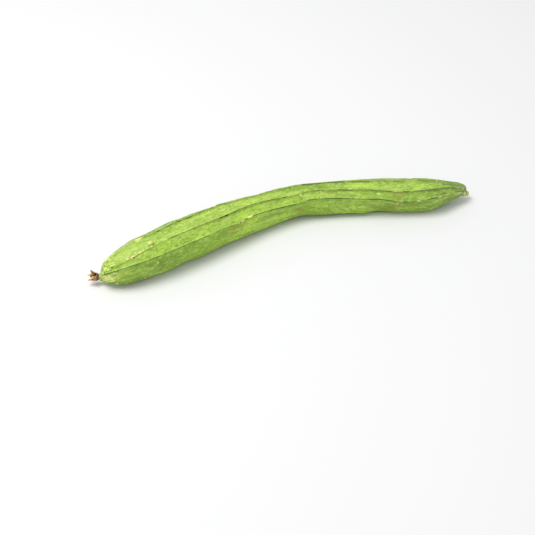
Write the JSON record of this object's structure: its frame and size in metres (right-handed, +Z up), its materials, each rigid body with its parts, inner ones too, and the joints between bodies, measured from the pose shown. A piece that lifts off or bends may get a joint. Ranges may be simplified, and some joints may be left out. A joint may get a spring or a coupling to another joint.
{
  "type": "ridge gourd",
  "caption": "Long green ridge gourd lying on its side: bent, club-shaped fruit with raised ribs, a cut stem stub at one end and dried flower remains at the other.",
  "frame": {"origin": "on the surface the gourd lies on, under the middle of its box", "axes": "+X runs from the flower end to the stem end, +Y points to the side the middle of the gourd bows out to, +Z is up"},
  "size_m": [0.4346, 0.0796, 0.0447],
  "materials": {
    "fruit_skin": "satin",
    "stem_flesh": "matte",
    "dried_petal": "matte"
  },
  "bodies": {
    "root": {"fruit": "fruit_skin", "cut_stem": "stem_flesh", "dried_flower": "dried_petal"}
  },
  "joints": []
}
